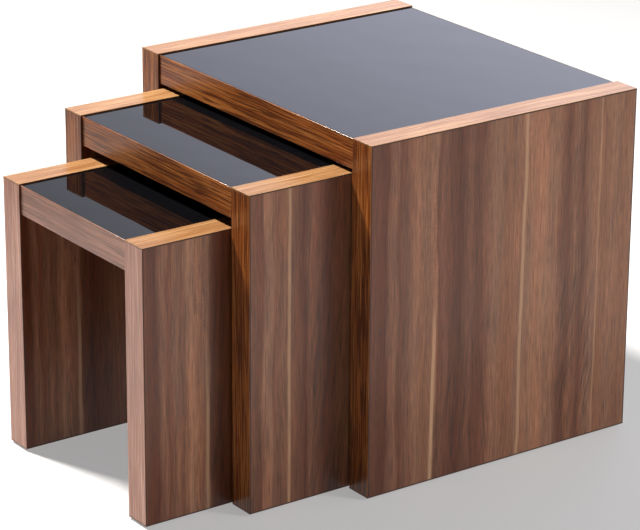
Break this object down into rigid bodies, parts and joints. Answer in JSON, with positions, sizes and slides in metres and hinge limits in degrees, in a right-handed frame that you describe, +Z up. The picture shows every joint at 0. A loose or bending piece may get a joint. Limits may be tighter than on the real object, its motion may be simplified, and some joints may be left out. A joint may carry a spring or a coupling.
{
  "type": "nesting tables",
  "caption": "Nest of open-fronted side tables with thick walnut-effect side panels, orange-brown edging and black glass tops; the smaller ones slide under the largest.",
  "frame": {"origin": "on the floor, at the middle of the whole set's footprint with the two smaller tables pulled out", "axes": "+Z up, +Y from the open front, where the smaller tables come out, to the rear, +X to the right seen from the front"},
  "size_m": [0.55, 0.742, 0.5],
  "materials": {
    "walnut_laminate": "satin walnut-effect laminate, grain upright",
    "zebrano_edging": "satin zebrano-effect edging, fine straight grain",
    "top_board_laminate": "satin backing laminate on the underside, raw chipboard at the ends",
    "black_glass": "polished, black behind",
    "zinc_fitting": "zinc plated",
    "beech_dowel": "raw fluted beech",
    "brown_plastic": "matt moulded",
    "black_plastic": "matt moulded"
  },
  "bodies": {
    "large_table": {"large_left_panel": "walnut_laminate", "large_left_front_edging": "zebrano_edging", "large_left_rear_edging": "zebrano_edging", "large_left_top_edging": "zebrano_edging", "large_left_bottom_edging": "zebrano_edging", "large_right_panel": "walnut_laminate", "large_right_front_edging": "zebrano_edging", "large_right_rear_edging": "zebrano_edging", "large_right_top_edging": "zebrano_edging", "large_right_bottom_edging": "zebrano_edging", "large_top_board": "top_board_laminate", "large_top_front_edging": "zebrano_edging", "large_top_rear_edging": "zebrano_edging", "large_top_glass": "black_glass", "large_cam_bolts": "zinc_fitting", "large_cam_locks": "zinc_fitting", "large_cam_caps": "brown_plastic", "large_dowels": "beech_dowel", "large_glides": "black_plastic"},
    "medium_table": {"medium_left_panel": "walnut_laminate", "medium_left_front_edging": "zebrano_edging", "medium_left_rear_edging": "zebrano_edging", "medium_left_top_edging": "zebrano_edging", "medium_left_bottom_edging": "zebrano_edging", "medium_right_panel": "walnut_laminate", "medium_right_front_edging": "zebrano_edging", "medium_right_rear_edging": "zebrano_edging", "medium_right_top_edging": "zebrano_edging", "medium_right_bottom_edging": "zebrano_edging", "medium_top_board": "top_board_laminate", "medium_top_front_edging": "zebrano_edging", "medium_top_rear_edging": "zebrano_edging", "medium_top_glass": "black_glass", "medium_cam_bolts": "zinc_fitting", "medium_cam_locks": "zinc_fitting", "medium_cam_caps": "brown_plastic", "medium_dowels": "beech_dowel", "medium_glides": "black_plastic"},
    "small_table": {"small_left_panel": "walnut_laminate", "small_left_front_edging": "zebrano_edging", "small_left_rear_edging": "zebrano_edging", "small_left_top_edging": "zebrano_edging", "small_left_bottom_edging": "zebrano_edging", "small_right_panel": "walnut_laminate", "small_right_front_edging": "zebrano_edging", "small_right_rear_edging": "zebrano_edging", "small_right_top_edging": "zebrano_edging", "small_right_bottom_edging": "zebrano_edging", "small_top_board": "top_board_laminate", "small_top_front_edging": "zebrano_edging", "small_top_rear_edging": "zebrano_edging", "small_top_glass": "black_glass", "small_cam_bolts": "zinc_fitting", "small_cam_locks": "zinc_fitting", "small_cam_caps": "brown_plastic", "small_dowels": "beech_dowel", "small_glides": "black_plastic"}
  },
  "joints": [
    {"name": "medium_table_slide", "type": "slide", "parent": "large_table", "child": "medium_table", "axis": [0, -1, 0], "range_m": [-0.158, 0.3]},
    {"name": "small_table_slide", "type": "slide", "parent": "large_table", "child": "small_table", "axis": [0, -1, 0], "range_m": [-0.292, 0.624]}
  ]
}
